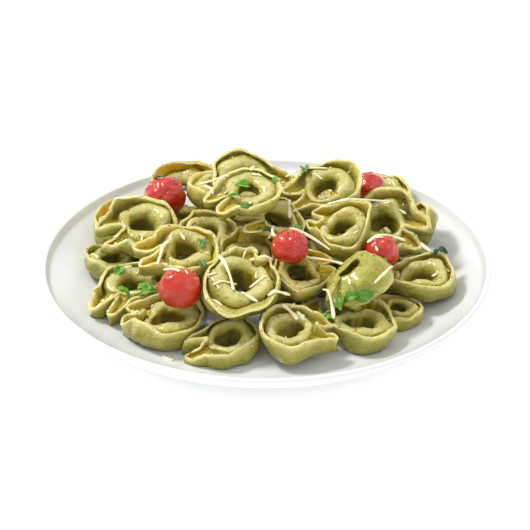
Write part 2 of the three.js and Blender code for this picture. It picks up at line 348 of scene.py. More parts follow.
def lathe(name, profile, steps, material):
    """A closed surface turned round Z. The profile starts and ends on the axis."""
    r, z = np.array(profile[1:-1]).T
    turn = np.arange(steps) * TURN / steps
    rings = np.stack([np.outer(np.cos(turn), r), np.outer(np.sin(turn), r), np.tile(z, (steps, 1))], -1)
    vertices = rings.reshape(-1, 3).tolist() + [[0, 0, profile[0][1]], [0, 0, profile[-1][1]]]
    n = len(r)
    first, last = steps * n, steps * n + 1
    faces = []
    for i in range(steps):
        a, b = i * n, (i + 1) % steps * n
        faces += [(a + k, b + k, b + k + 1, a + k + 1) for k in range(n - 1)]
        faces += [(first, b, a), (last, a + n - 1, b + n - 1)]
    return mesh_object(name, vertices, faces, material)


def build_plate():
    """The profile runs out under the foot, up to the lip, over it and back down to the middle."""
    top = PLATE_HEIGHT - 0.05
    inside = np.linspace(PLATE_RADIUS - 4.5, WELL_RADIUS, 22)
    under = np.linspace(FOOT_RADIUS + 4, PLATE_RADIUS - 1.4, 16)
    lip = [math.radians(a) for a in range(-70, 151, 20)]
    foot = [math.radians(a) for a in range(180, 361, 30)]
    profile = [(0, 1.4), (FOOT_RADIUS - 9, 1.4), (FOOT_RADIUS - 6, 1.3)]
    profile += [(FOOT_RADIUS - 3 + 2.8 * math.cos(a), 1.2 + 1.2 * math.sin(a)) for a in foot]
    profile += [(r, float(plate_floor(r)) - PLATE_WALL) for r in under]
    profile += [(PLATE_RADIUS - LIP_ROUND + LIP_ROUND * math.cos(a),
                 top - LIP_ROUND + LIP_ROUND * math.sin(a)) for a in lip]
    profile += [(r, float(plate_floor(r))) for r in inside]
    profile += [(r, FLOOR_HEIGHT) for r in (WELL_RADIUS - 12, 40)] + [(0, FLOOR_HEIGHT)]
    stands_for(lathe("coupe_plate", profile, 240, glaze()), "plate", "plate")


# ---- Tortellini ----
# The same shapes as in the CAD solids, with more points, softer folds and the unevenness of cooked pasta.

RADIUS = 18.8  # of the collar's outside
HEIGHT = 16.6  # of the collar's rim
SHEET = 1.9  # the dough's thickness at the rim
HOLE = 6.4  # radius of the hole in the middle
GROOVE = 0.8  # between the collar and the filled roll
ROLL_MIDDLE = 9.7  # how high the roll's centre is
ROLL_TALL = 1.22  # the roll's height over its width
PINCH = 12.3  # from the middle to where the ends are pinched together
LOOP = 6.8  # how far a loop reaches before a piece's own number is added
COLLAR_STEPS, SECTION_STEPS = 6, 2  # points between the stops of each curve

# One tortellino's numbers. pinch: which way its loops point, in degrees. lean: which way it tips, and how
# far. size, oval and tall: how large, narrow and high it is. loops: how far each reaches. split and curl: how
# far they spread apart and bend aside. droop: how far each sinks. flare: how far the rim leans out. lift: how
# far the roll tilts. brim: where the rim is pulled out, in degrees, and how far.
PLAIN = dict(
    size=1.0, loops=(6, 6), split=1, curl=0, droop=(0.25, 0.25), oval=1, tall=1, flare=0.3, lift=0.6,
    brim=(0, 0), lean=(0, 0),
)

HEAP = [
    # on the plate: the front row, the ones round the edge, then the middle and the back
    dict(pinch=195, lean=(270, 10), size=0.98, loops=(7, 7), flare=-0.5, droop=(0.1, 0.45)),
    dict(pinch=2, lean=(275, 8), tall=1.12, loops=(5, 6)),
    dict(pinch=165, lean=(280, 6), tall=1.05, loops=(4, 2), size=1.16, oval=0.92),
    dict(pinch=100, lean=(285, 8), size=1.14, tall=1, oval=0.92, loops=(2, 3)),
    dict(pinch=235, lean=(250, 4), loops=(7, 7), size=1.08),
    dict(pinch=175, lean=(262, 5)),
    dict(pinch=150, size=0.8, tall=0.9),
    dict(pinch=60, lean=(270, 8), size=0.88, tall=0.9),
    dict(pinch=30, size=0.88),
    dict(pinch=80, lean=(290, 10), size=0.95),
    dict(pinch=310, lean=(265, 42), size=1.05, tall=1.15, flare=2, loops=(2, 2)),
    dict(pinch=100, lean=(185, 55), size=0.85, loops=(2, 2)),
    dict(pinch=260, lean=(260, 20), size=0.92, loops=(2, 3)),
    dict(pinch=20, size=0.85),
    dict(pinch=30, size=0.95),
    dict(pinch=200, size=0.9),
    dict(pinch=100, size=0.95),
    dict(pinch=330, size=0.95),
    dict(pinch=20, size=0.95),
    dict(pinch=280, size=0.95),
    dict(pinch=200, size=0.85),
    dict(pinch=70),
    dict(pinch=120, size=0.95),
    dict(pinch=120, size=0.85),
    # the second layer
    dict(pinch=20, lean=(280, 16), size=1.04, loops=(3, 3)),
    dict(pinch=90, lean=(270, 12), size=0.9),
    dict(pinch=60, lean=(268, 14), size=1.28, oval=0.95, tall=0.95, loops=(2, 2), brim=(265, 4)),
    dict(pinch=350, lean=(205, 207), tall=1.1, loops=(2, 1)),
    dict(pinch=190, lean=(285, 12), loops=(7, 6), size=1.04),
    dict(pinch=205, lean=(300, 20), loops=(5, 7), size=1.05, brim=(300, 2)),
    dict(pinch=340, lean=(265, 10)),
    dict(pinch=330, lean=(235, 30), size=1.1, tall=1.1),
    dict(pinch=150, lean=(270, 18), loops=(6, 6), size=1.08),
    dict(pinch=0, lean=(90, 10), size=0.95),
    dict(pinch=90, size=0.95),
    dict(pinch=90, size=0.9),
    # on top
    dict(pinch=200, lean=(265, 25)),
    dict(pinch=200, lean=(330, 25), size=0.95),
    dict(pinch=350, lean=(265, 30), loops=(7, 5), size=1.08),
    dict(pinch=215, lean=(250, 12), loops=(7, 7), size=0.98),
]

# how yellow some of the pieces are, from 0, green, to 1; the others vary
TONES = {
    1: 0.35, 2: 0.45, 3: 0.5, 4: 0.3, 5: 0.5, 8: 0.6, 9: 0.2, 10: 0.9, 11: 0.9, 12: 0.9, 25: 0.9, 26: 0.7,
    27: 0.45, 28: 0.15, 29: 0.75, 30: 0.3, 31: 0.6, 32: 0.2, 33: 0.7, 36: 0.9, 37: 0.3, 38: 0.6, 39: 0.4,
    40: 0.4,
}


def chance(seed, use):
    """The same number from 0 to 1 each time for one seed and one use."""
    wave = math.sin(seed * 12.9898 + use * 78.233) * 43758.5453
    return wave - math.floor(wave)


def bell(x):
    """1 at 0, and falling away to both sides."""
    return np.exp(-x * x)


def smooth(rows, between):
    """A closed Catmull-Rom curve through the rows, with a number of steps from each to the next."""
    before, after, later = np.roll(rows, 1, 0), np.roll(rows, -1, 0), np.roll(rows, -2, 0)
    t = (np.arange(between) / between).reshape(-1, *[1] * rows.ndim)
    curve = 0.5 * (
        2 * rows + (after - before) * t
        + (2 * before - 5 * rows + 4 * after - later) * t ** 2
        + (3 * rows - before - 3 * after + later) * t ** 3
    )
    return curve.swapaxes(0, 1).reshape(-1, *rows.shape[1:])


# A loop of the collar, from the circle out to its tip and back to the pinch: how far along, how far across,
# the turn round the roll in degrees and how free of the roll it hangs.
LOOP_OUTLINE = [
    (0.22, 11.7, 148, 0.1), (0.45, 10.6, 154, 0.4), (0.68, 9.3, 159, 0.7), (0.88, 7.7, 163, 0.9),
    (1.0, 5.3, 166, 1), (0.93, 3.2, 169, 1), (0.72, 2.1, 172, 0.9), (0.45, 1.5, 174.5, 0.7),
    (0.2, 1.0, 177, 0.4),
]


def collar(shape, seed):
    """Where the collar's outside runs: x, y, the turn round the roll and how free of the roll it is."""

    def side(way, reach):
        """The stops on one side, from the belly to the pinch."""
        turns = np.radians([way * degrees for degrees in (22, 44, 66, 86, 104, 121, 136)])
        r = RADIUS * (1 + 0.04 * np.cos(2 * turns + TURN * chance(seed, 1))
                      + 0.025 * np.cos(3 * turns + TURN * chance(seed, 2)))
        r += 0.3 * np.cos(7 * turns + TURN * chance(seed, 11))
        stops = [(r[i] * math.cos(a), r[i] * math.sin(a), a, 0) for i, a in enumerate(turns)]
        spread = shape["split"] * way + shape["curl"]
        for share, across, turn, out in LOOP_OUTLINE:
            along = share * (reach + LOOP)
            stops.append((-PINCH - along, way * across + spread * along / 10, way * math.radians(turn), out))
        return stops

    belly = [(side(1, 0)[0][0] + 1.2, 0, 0, 0)]
    stops = side(-1, shape["loops"][1])[::-1] + belly + side(1, shape["loops"][0])
    rows = np.array(stops + [(-PINCH, 0, math.pi, 0)], dtype=float)
    line = smooth(rows, COLLAR_STEPS)
    steps = np.arange(len(rows) * COLLAR_STEPS) / COLLAR_STEPS
    wrapped = np.append(rows[:, 2], rows[0, 2] + TURN)
    line[:, 2] = np.interp(steps, np.arange(len(rows) + 1), wrapped)
    line[:, 3] = np.clip(line[:, 3], 0, 1)
    return line


# what the pasta's material is told about each vertex, from 0 to 1: where to paint highlights (rim, crest),
# shade (fold, low) and a glow of light through the dough (inside, lining)
MARKS = ("rim", "fold", "inside", "low", "painted_crest_highlight", "painted_glow_lining")
PAINTED_RIM_HIGHLIGHT, PAINTED_FOLD_SHADE, PAINTED_GLOW_INSIDE, PAINTED_LOW_SHADE, PAINTED_CREST_HIGHLIGHT, PAINTED_GLOW_LINING = range(len(MARKS))


def tortellino_points(shape, seed):
    """A grid of points, round the ring and then round the section, with the marks of each."""
    x, y, angle, out = collar(shape, seed).T

    def wave(n, use):
        """n waves round the roll, which start at this piece's own place."""
        return np.cos(n * angle + TURN * chance(seed, use))

    dx, dy = np.roll(x, -1) - np.roll(x, 1), np.roll(y, -1) - np.roll(y, 1)
    length = np.hypot(dx, dy)
    nx, ny = dy / length, -dx / length
    along = np.arange(len(x)) / len(x) * TURN

    def ripple(n, use):
        """n waves along the collar, loops and all."""
        return np.cos(n * along + TURN * chance(seed, use))

    pinch = (1 - np.cos(angle)) / 2
    opening = HOLE * (1 + 0.16 * wave(2, 31) + 0.09 * wave(3, 32))
    fullest = (RADIUS - SHEET - GROOVE - opening) / 2
    notch = bell((1 - pinch) / 0.012)
    uneven = 1 + 0.05 * wave(3, 3) + 0.06 * wave(5, 12)
    roll = fullest * (1 - 0.48 * pinch ** 3) * uneven * (1 - 0.2 * notch)
    middle = opening + roll + 0.4 * wave(2, 13) * (1 - pinch)
    centre = ROLL_MIDDLE + shape["lift"] * wave(1, 4) - 0.8 * pinch + 0.3 * wave(4, 17)
    brim_turn = angle - math.radians(shape["brim"][0] - shape["pinch"] - 180)
    brim = shape["brim"][1] * bell(np.abs(np.arctan2(np.sin(brim_turn), np.cos(brim_turn))) / 0.9)
    top = HEIGHT * shape["tall"] * (1 - 0.08 * pinch + 0.07 * wave(2, 5)) - 0.5 * brim
    top = top * (1 - out * np.where(y > 0, *shape["droop"]))
    top = top + 0.35 * ripple(5, 14) + 0.25 * ripple(9, 15)
    flare = shape["flare"] + 0.8 * wave(2, 6) + 0.5 * wave(3, 7) + brim + 0.3 * ripple(8, 16)
    opened = np.clip((pinch - 0.6) / 0.3, 0, 1)
    foot = -4.2 + 3.4 * out
    bulge = 0.7 * (1 - out)

    def wall(away, z):
        """A line along the collar, away from its outside."""
        return np.stack([x + nx * away, y + ny * away, z + 0 * angle], -1)

    def ring(around, size=1.0):
        """A line along the filled roll, so many degrees up from its outer side."""
        a = np.radians(around)
        r = middle + size * roll * np.cos(a)
        z = centre + ROLL_TALL * size * roll * np.sin(a)
        return np.stack([r * np.cos(angle), r * np.sin(angle), z], -1)

    def hole(inwards, z):
        """A line round the hole, a share of the roll's radius in from the roll's middle."""
        r = middle - inwards * roll
        return np.stack([r * np.cos(angle), r * np.sin(angle), z + 0 * angle], -1)

    groove = centre + 2.4 - 3.6 * opened
    # rim and crest mark painted highlights, fold and low painted shade, lining a painted glow of light
    # through the dough
    section = [  # a line, and how much it is rim, fold, low, crest and lining
        (hole(0.2, 0.5), 0, 0.8, 1),
        (wall(foot - 0.6 * (1 - out), 0.05 * top + 3 * out + 0.2), 0, 0.5, 1),
        (wall(foot * 0.6, 0.13 * top + 2.8 * out), 0, 0.3, 1),
        (wall(foot * 0.16 + 0.3 * bulge, 0.3 * top + 2 * out), 0, 0.1, 1),
        (wall(bulge, 0.54 * top + 0.8 * out), 0, 0, 0.8),
        (wall(0.45 * flare + 0.6 * bulge, 0.8 * top), 0.15, 0, 0.4),
        (wall(flare, top - 0.75), 0.8, 0),
        (wall(flare - 0.4, top + 0.05), 1, 0),
        (wall(flare - 0.5 * SHEET, top - 0.3), 0.7, 0.2),
        (wall(flare - SHEET + 0.4, top), 1, 0),
        (wall(flare - SHEET, top - 0.8), 0.8, 0.2),
        (wall(0.5 * flare - SHEET, 0.45 * top + 0.55 * groove + 1), 0.2, 0.4, 0, 0, 1),
        (wall(-SHEET, 0.15 * top + 0.85 * groove + 0.5), 0, 0.7, 0, 0, 1),
        (wall(-SHEET - 0.4 * (1 - out), groove), 0, 1),
        (ring(33 - 15 * opened, 1.14), 0, 0.8),
        (ring(50 - 6 * opened, 1.16), 0, 0.2),
        (ring(72, 1.08), 0, 0, 0, 1),
        (ring(100, 1.02), 0, 0, 0, 1),
        (ring(130), 0, 0.15),
        (ring(155), 0, 0.7),
        (ring(182), 0, 1),
        (hole(1.0, 0.4 * centre), 0, 0.9),
        (hole(1.1, 0.4), 0, 1),
    ]
    grid = smooth(np.stack([line for line, *_ in section]), SECTION_STEPS).swapaxes(0, 1).copy()
    marks = np.zeros((len(section), len(MARKS)))
    for row, (_, *given) in zip(marks, section):
        row[[PAINTED_RIM_HIGHLIGHT, PAINTED_FOLD_SHADE, PAINTED_LOW_SHADE, PAINTED_CREST_HIGHLIGHT, PAINTED_GLOW_LINING][:len(given)]] = given
    marks = np.repeat(np.clip(smooth(marks, SECTION_STEPS), 0, 1)[None], len(x), 0)
    # where the loops hang free, the painted shade of the folds becomes a painted glow of light through the
    # dough
    upper = marks[:, :, PAINTED_LOW_SHADE] < 0.3
    inside = marks[:, :, PAINTED_FOLD_SHADE] * np.minimum(1, 1.6 * out[:, None]) * upper
    marks[:, :, PAINTED_FOLD_SHADE] -= inside
    marks[:, :, PAINTED_GLOW_INSIDE] = inside
    if shape["lean"][1] > 90:  # upside down, so its underside is in the light
        # its underside gets no painted shade on its folds or low parts
        marks[:, :, PAINTED_FOLD_SHADE] *= upper
        marks[:, :, PAINTED_LOW_SHADE] = 0
    grid[:, :, 1] *= shape["oval"]
    saddle = (chance(seed, 20) - 0.5) * 2.4
    grid[:, :, 2] += saddle * (grid[:, :, 0] ** 2 - grid[:, :, 1] ** 2) / RADIUS ** 2
    return grid, marks


# how broad and how deep the bends, the dents and the pits in cooked pasta are
UNEVENNESS = [(13, 2.0), (5, 0.65), (2.2, 0.18)]


def roughen(grid, seed):
    """The grid, made uneven like cooked pasta."""
    offset = Vector((seed * 7.3, seed * 3.1, seed * 5.7))
    flat = grid.reshape(-1, 3)
    for i, p in enumerate(flat):
        at = moved = Vector(p)
        for breadth, depth in UNEVENNESS:
            moved = moved + noise.noise_vector(at / breadth + offset) * depth
        flat[i] = moved
    return flat.reshape(grid.shape)


def oriented(points, shape):
    """Points turned to a piece's heading, then tipped its way, at its size."""
    turn = Matrix.Rotation(math.radians(shape["pinch"] - 180), 3, "Z")
    towards, degrees = shape["lean"]
    axis = Vector((-math.sin(math.radians(towards)), math.cos(math.radians(towards)), 0))
    tilt = Matrix.Rotation(math.radians(degrees), 3, axis)
    return points * shape["size"] @ np.array(tilt @ turn).T


# ---- Pressing the soft pieces against each other ----

PRESS_DEPTH = 9.0  # how deep into a piece a press is felt
PRESS_ROUNDS = 12
PRESS_WAYS = 240
TOMATO_FIRMNESS = 5.0  # against 1 for pasta
TOUCH = 0.03  # the gap left between two pieces
TOO_FAR = 60  # between the centres of pieces that can't meet


def directions():
    """Directions spread evenly all round."""
    i = np.arange(PRESS_WAYS)
    z = 1 - (2 * i + 1) / PRESS_WAYS
    turn = i * math.pi * (3 - math.sqrt(5))
    across = np.sqrt(1 - z * z)
    return np.stack([across * np.cos(turn), across * np.sin(turn), z], -1)


def middle_of(points):
    return (points.max(0) + points.min(0)) / 2


def press(points, direction, limit):
    """Squeezes the side that reaches past a plane back to it, more the farther out it is."""
    far = points @ direction
    reach = far.max()
    if reach <= limit:
        return
    start = limit - PRESS_DEPTH
    past = np.maximum(far - start, 0)
    points += np.outer(past * ((limit - start) / (reach - start) - 1), direction)


def press_together(pieces):
    """Parts pieces that meet by a plane, and keeps all on the plate and under the CAD model's top."""
    ways = directions()
    for piece in pieces:
        along = piece["points"] @ ways.T
        piece["most"], piece["least"] = along.max(0), along.min(0)
        piece["centre"] = middle_of(piece["points"])
        piece["planes"] = [(np.array([0.0, 0.0, 1.0]), CAD_BOX[1][2] / MM)]
    for i, a in enumerate(pieces):
        for b in pieces[i + 1:]:
            if np.linalg.norm(a["centre"] - b["centre"]) > TOO_FAR:
                continue
            depth = a["most"] - b["least"]
            k = int(depth.argmin())
            both = depth[k] + TOUCH
            if both <= 0:
                continue
            plane = a["most"][k] - both * b["firmness"] / (a["firmness"] + b["firmness"])
            a["planes"].append((ways[k], plane))
            b["planes"].append((-ways[k], -plane - TOUCH))
    for piece in pieces:
        for _ in range(PRESS_ROUNDS):
            for direction, limit in piece["planes"]:
                press(piece["points"], direction, limit)
        r = np.hypot(piece["points"][:, 0], piece["points"][:, 1])
        piece["points"][:, 2] = np.maximum(piece["points"][:, 2], plate_floor(r) + TOUCH)


def node_box(node):
    return (np.array(corner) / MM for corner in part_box(node))


def centred_on(points, node):
    """Points moved so that their middle is the middle of a CAD node."""
    low, high = node_box(node)
    return points + (low + high) / 2 - middle_of(points)


def grid_faces(rings, across):
    """The faces of a grid that closes on itself both ways."""
    i, j = np.meshgrid(np.arange(rings), np.arange(across), indexing="ij")
    i2, j2 = (i + 1) % rings, (j + 1) % across
    quads = np.stack([i * across + j, i2 * across + j, i2 * across + j2, i * across + j2], -1)
    return quads.reshape(-1, 4).tolist()


def build_tortellini():
    pieces = []
    for i, row in enumerate(HEAP):
        seed = i + 1
        shape = {**PLAIN, **row}
        grid, marks = tortellino_points(shape, seed)
        grid = roughen(grid, seed)
        name = f"tortellino_{seed:02d}"
        points = centred_on(oriented(grid.reshape(-1, 3), shape), name)
        run = np.cumsum(np.linalg.norm(np.diff(grid, axis=0, append=grid[:1]), axis=2), 0)
        rise = np.cumsum(np.linalg.norm(np.diff(grid, axis=1, append=grid[:, :1]), axis=2), 1)
        numbers = {mark: marks[:, :, k] for k, mark in enumerate(MARKS)}
        numbers["tone"] = np.full(run.shape, TONES.get(seed, chance(seed, 30)))
        numbers.update(run=run, rise=rise)
        pieces.append(dict(name=name, points=points, size=run.shape, numbers=numbers, firmness=1.0))
    return pieces


TOMATO_GRID = (39, 64)  # rows of points, and points in a row


def ball_points(rows, around):
    """Points on a ball of radius 1: rows of them, then the top and the bottom."""
    v = np.linspace(0, math.pi, rows + 2)[1:-1]
    u = np.arange(around) * TURN / around
    ball = np.stack([
        np.outer(np.sin(v), np.cos(u)), np.outer(np.sin(v), np.sin(u)), np.outer(np.cos(v), np.ones(around)),
    ], -1).reshape(-1, 3)
    return np.vstack([ball, [[0, 0, 1], [0, 0, -1]]])


def build_tomatoes():
    pieces = []
    for i in range(5):
        name = f"tomato_{i + 1}"
        low, high = node_box(name)
        points = ball_points(*TOMATO_GRID)
        lobes = 1 + 0.012 * np.cos(5 * np.arctan2(points[:, 1], points[:, 0]) + i) * np.abs(points[:, 2])
        dimple = 0.10 * bell(np.hypot(points[:, 0], points[:, 1]) / 0.2) * (points[:, 2] > 0)
        points = points * (lobes - dimple)[:, None]
        for k, p in enumerate(points):
            at = Vector((i * 9.1, 0, 0))
            wrinkle = noise.noise(Vector(p * [5.0, 5.0, 1.0]) + at)
            points[k] = p * (1 + 0.10 * noise.noise(Vector(p * 1.1) + at) + 0.045 * wrinkle)
        tip = Matrix.Rotation(0.9 + 0.5 * i, 3, Vector((math.cos(i * 2.1), math.sin(i * 2.1), 0)))
        points = points @ np.array(tip).T
        points = points * (high - low) / 2 + (low + high) / 2
        pieces.append(dict(name=name, points=points, size=TOMATO_GRID, firmness=TOMATO_FIRMNESS))
    return pieces


def ball_faces(rows, around):
    """The faces for ball_points."""
    top, bottom = rows * around, rows * around + 1
    faces = []
    for j in range(around):
        k = (j + 1) % around
        faces += [(i * around + j, (i + 1) * around + j, (i + 1) * around + k, i * around + k)
                  for i in range(rows - 1)]
        faces += [(top, j, k), (bottom, (rows - 1) * around + k, (rows - 1) * around + j)]
    return faces


def build_heap():
    """Makes the pasta and the tomatoes, and returns the points and faces of each."""
    tortellini, tomatoes = build_tortellini(), build_tomatoes()
    press_together(tortellini + tomatoes)
    pasta_look, tomato_look = pasta(), tomato_skin()
    solids = []
    for piece in tortellini:
        faces = grid_faces(*piece["size"])
        thing = mesh_object("pasta_" + piece["name"][-2:], piece["points"], faces, pasta_look)
        for name, values in piece["numbers"].items():
            attribute(thing, name, values)
        stands_for(thing, "pasta", piece["name"])
        solids.append((piece["points"], faces))
    for piece in tomatoes:
        faces = ball_faces(*piece["size"])
        thing = mesh_object("cherry_" + piece["name"], piece["points"], faces, tomato_look)
        stands_for(thing, "tomato", piece["name"])
        solids.append((piece["points"], faces))
    return solids


# ---- Toppings ----
# Each place is a node and how far across its box, in x and y, from 0 to 1.

# the long shreds: a place and another
SHREDS = [
    ("tortellino_33", 0.7, 0.9, "tortellino_32", 0.5, 0.7),
    ("tortellino_32", 0.8, 0.3, "tortellino_06", 0.7, 0.9),
    ("tomato_4", 0.1, 0.4, "tortellino_06", 0.35, 0.8),
    ("tortellino_28", 0.75, 0.2, "tortellino_07", 0.5, 0.7),
    ("tortellino_08", 1.0, 0.6, "tortellino_04", 0.13, 0.3),
    ("tortellino_03", 0.5, -0.08, "tortellino_03", 0.62, -0.2),
    ("tortellino_02", 0.1, 0.8, "tortellino_02", 0.4, 0.9),
    ("tortellino_02", 0.3, 0.9, "tortellino_02", 0.5, 0.7),
    ("tortellino_02", 0.5, 0.9, "tortellino_02", 0.6, 0.7),
    ("tortellino_27", 0.2, 0.8, "tortellino_27", 0.4, 0.3),
    ("tortellino_27", 0.6, 0.8, "tortellino_27", 0.9, 0.8),
    ("tortellino_27", 0.6, 0.4, "tortellino_27", 0.8, 0.5),
    ("tortellino_27", 0.5, 0.3, "tortellino_27", 0.7, 0.2),
    ("tortellino_29", 0.4, 0.6, "tortellino_29", 0.3, 0.1),
    ("tortellino_31", 0.3, 0.9, "tortellino_40", 0.3, 0.8),
    ("tortellino_34", 0.2, 0.2, "tortellino_40", 0.1, 0.4),
    ("tortellino_39", 0.9, 0.5, "tortellino_37", 0.6, 0.8),
    ("tortellino_39", 0.7, 0.9, "tortellino_39", 0.9, 0.7),
    ("tortellino_40", 0.6, 0.9, "tortellino_39", 0.5, 0.6),
    ("tortellino_38", 0.7, 0.9, "tortellino_38", 0.7, 0.5),
    ("tortellino_38", 0.9, 0.9, "tortellino_37", 0.3, 0.1),
    ("tortellino_33", 0.4, 0.9, "tortellino_33", 0.7, 0.9),
    ("tortellino_26", 0.9, 0.6, "tomato_3", 0.1, 0.6),
    ("tortellino_25", 0.3, 0.7, "tortellino_25", 0.9, 0.5),
    ("tortellino_25", 0.6, 0.7, "tortellino_28", 0.3, 0.7),
    ("tortellino_30", 0.2, 0.8, "tortellino_30", 0.5, 0.9),
    ("tortellino_01", 0.4, 0.9, "tortellino_01", 0.7, 1.0),
    ("tortellino_03", 0.5, 0.7, "tortellino_03", 0.7, 0.5),
    ("tortellino_05", 0.3, 0.8, "tortellino_05", 0.5, 0.9),
    ("tortellino_35", 0.4, 0.6, "tortellino_36", 0.3, 0.6),
    ("tortellino_22", 0.3, 0.6, "tortellino_22", 0.7, 0.8),
    ("tortellino_13", 0.3, 0.4, "tortellino_13", 0.7, 0.6),
]

# a node, the place on it, the leaf's length in millimetres and how wilted it is
LEAVES = [
    ("tortellino_05", 0.75, 0.3, 14, 0.1), ("tortellino_05", 0.7, 0.4, 12, 0.0),
    ("tortellino_05", 0.45, 0.35, 13, 0.0), ("tortellino_05", 0.35, 0.8, 14, 0.2),
    ("tortellino_29", 0.8, 0.1, 11, 0.7), ("tortellino_29", 0.8, 0.6, 13, 0.5),
    ("tortellino_31", 0.8, 0.3, 10, 0.1), ("tortellino_40", 0.5, 0.6, 11, 0.0),
    ("tortellino_40", 0.6, 0.5, 8, 0.1), ("tortellino_38", 0.5, 0.8, 7, 0.1),
    ("tortellino_38", 0.1, 0.2, 10, 0.6), ("tortellino_38", 0.4, 0.1, 9, 0.9),
    ("tortellino_38", 0.3, 0.1, 7, 0.3), ("tortellino_27", 0.5, 0.5, 14, 0.9),
    ("tortellino_37", 0.3, 0.8, 11, 0.5), ("tortellino_38", 0.8, 0.3, 8, 0.0),
    ("tortellino_04", 0.0, 0.5, 11, 0.0), ("tortellino_04", 0.1, 0.4, 12, 0.0),
    ("tortellino_04", 0.22, 0.42, 14, 0.4), ("tortellino_04", 0.4, 0.44, 13, 0.3),
    ("tortellino_04", 0.58, 0.44, 16, 0.4), ("tortellino_07", 0.4, 0.95, 11, 0.1),
    ("tortellino_06", 0.8, 0.9, 16, 1.0), ("tortellino_24", 0.5, 0.5, 9, 0.7),
    ("tortellino_22", 0.5, 0.5, 10, 0.3), ("tortellino_21", 0.4, 0.5, 8, 0.5),
]

LONG_WIDTH, LONG_THICKNESS = (1.7, 2.4), 0.9
SHORT_SHREDS, SHORT_WIDTH, SHORT_THICKNESS = 70, (1.0, 2.0), 0.8
CRUMBS, CRUMB_SIZE, CRUMB_FLATNESS = 320, (0.5, 1.6), 0.7
SHRED_STEP = 1.6  # between two rings of points on a shred
SHRED_STEEPEST = 0.45  # rise over run
TILT = 0.3  # of whatever lies loose, against a length of 1 for the surface's normal
LEAF_THICKNESS = 0.32
LEAF_SCALE = 0.85  # how much of the lengths above the leaves have

# the small bits: a name, a slot, a look, a seed, how many, their sizes and how thick they are for their size
SPRINKLED = [
    ("chilli_flakes", "chilli", flake, 7, 210, (0.7, 2.1), 0.3),
    ("cracked_pepper", "pepper", peppercorn, 9, 600, (0.35, 0.95), 0.8),
]


def joined(parts):
    """The points and faces of many small parts, as those of one mesh."""
    vertices, faces = [], []
    for points, polygons in parts:
        first = len(vertices)
        vertices += points.tolist()
        faces += [[first + i for i in polygon] for polygon in polygons]
    return vertices, faces


class Surface:
    """What lies on the plate, for finding where things come to rest."""

    def __init__(self, solids):
        self.tree = BVHTree.FromPolygons(*joined(solids))

    def under(self, x, y):
        """The place and the normal of the highest thing at x and y, and whether it is food."""
        above = Vector((x, y, 200))
        place, normal, _, _ = self.tree.ray_cast(above, Vector((0, 0, -1)))
        if place is None:
            return Vector((x, y, float(plate_floor(math.hypot(x, y))))), Vector((0, 0, 1)), False
        return place, normal if normal.z > 0 else -normal, True

    def perch(self, x, y, reach):
        """The highest place within reach, where something broad would be held up."""
        around = [(x, y)]
        around += [(x + reach * math.cos(a), y + reach * math.sin(a)) for a in np.arange(8) * TURN / 8]
        return max((self.under(*spot)[:2] for spot in around), key=lambda found: found[0].z)


def on_node(node, u, v):
    """The x and y of a place given by a node and how far across its box."""
    low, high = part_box(node)
    return (low[0] + u * (high[0] - low[0])) / MM, (low[1] + v * (high[1] - low[1])) / MM


def heap_range():
    """The lowest and the highest x and y of the pasta."""
    corners = [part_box(f"tortellino_{i + 1:02d}") for i in range(len(HEAP))]
    low = [min(box[0][k] for box in corners) / MM for k in (0, 1)]
    high = [max(box[1][k] for box in corners) / MM for k in (0, 1)]
    return low, high


def strip(surface, start, end, width, thick, dice):
    """A flat shred laid from one place to another, stiff enough to bridge the hollows between."""
    count = max(4, int(math.dist(start, end) / SHRED_STEP))
    run = np.linspace(0, 1, count)
    line = np.outer(1 - run, start) + np.outer(run, end)
    side = np.array([start[1] - end[1], end[0] - start[0]]) / max(math.dist(start, end), 0.1)
    line += np.outer(np.sin(run * math.pi) * dice.uniform(-0.07, 0.07) * math.dist(start, end), side)
    floor = np.array([surface.under(x, y)[0].z for x, y in line]) + 0.5 * thick
    z = floor.copy()
    for i in range(count):
        for j in range(i + 2, count):
            span = np.arange(i, j + 1)
            z[i:j + 1] = np.maximum(z[i:j + 1], floor[i] + (floor[j] - floor[i]) * (span - i) / (j - i))
    steepest = SHRED_STEEPEST * math.dist(start, end) / (count - 1)
    for i in range(1, count):
        z[i] = max(z[i], z[i - 1] - steepest)
    for i in range(count - 2, -1, -1):
        z[i] = max(z[i], z[i + 1] - steepest)
    for _ in range(4):
        z[1:-1] = np.maximum(floor[1:-1], (z[:-2] + 2 * z[1:-1] + z[2:]) / 4)
    path = np.column_stack([line, z])
    ahead = np.gradient(path, axis=0)
    ahead /= np.linalg.norm(ahead, axis=1)[:, None]
    tilt = dice.uniform(-0.5, 0.5) + run * dice.uniform(-0.7, 0.7)
    flat = np.column_stack([np.tile(side, (count, 1)), np.zeros(count)])
    up = np.cross(ahead, flat)
    across = flat * np.cos(tilt)[:, None] + up * np.sin(tilt)[:, None]
    up = np.cross(ahead, across)
    wide = 0.5 * width * (0.85 + 0.25 * np.sin(run * dice.uniform(3, 9) + dice.uniform(0, 6)))
    wide[0] *= dice.uniform(0.4, 0.9)
    wide[-1] *= dice.uniform(0.4, 0.9)
    corners = [(1, 0.5), (0.6, 1), (-0.6, 1), (-1, 0.5), (-1, -0.6), (0, -0.9), (1, -0.6)]
    rings = np.stack([path + across * (wide * a)[:, None] + up * (0.5 * thick * b) for a, b in corners], 1)
    n = len(corners)
    faces = [(i * n + j, i * n + (j + 1) % n, (i + 1) * n + (j + 1) % n, (i + 1) * n + j)
             for i in range(count - 1) for j in range(n)]
    faces += [tuple(range(n))[::-1], tuple(range((count - 1) * n, count * n))]
    return rings.reshape(-1, 3), faces


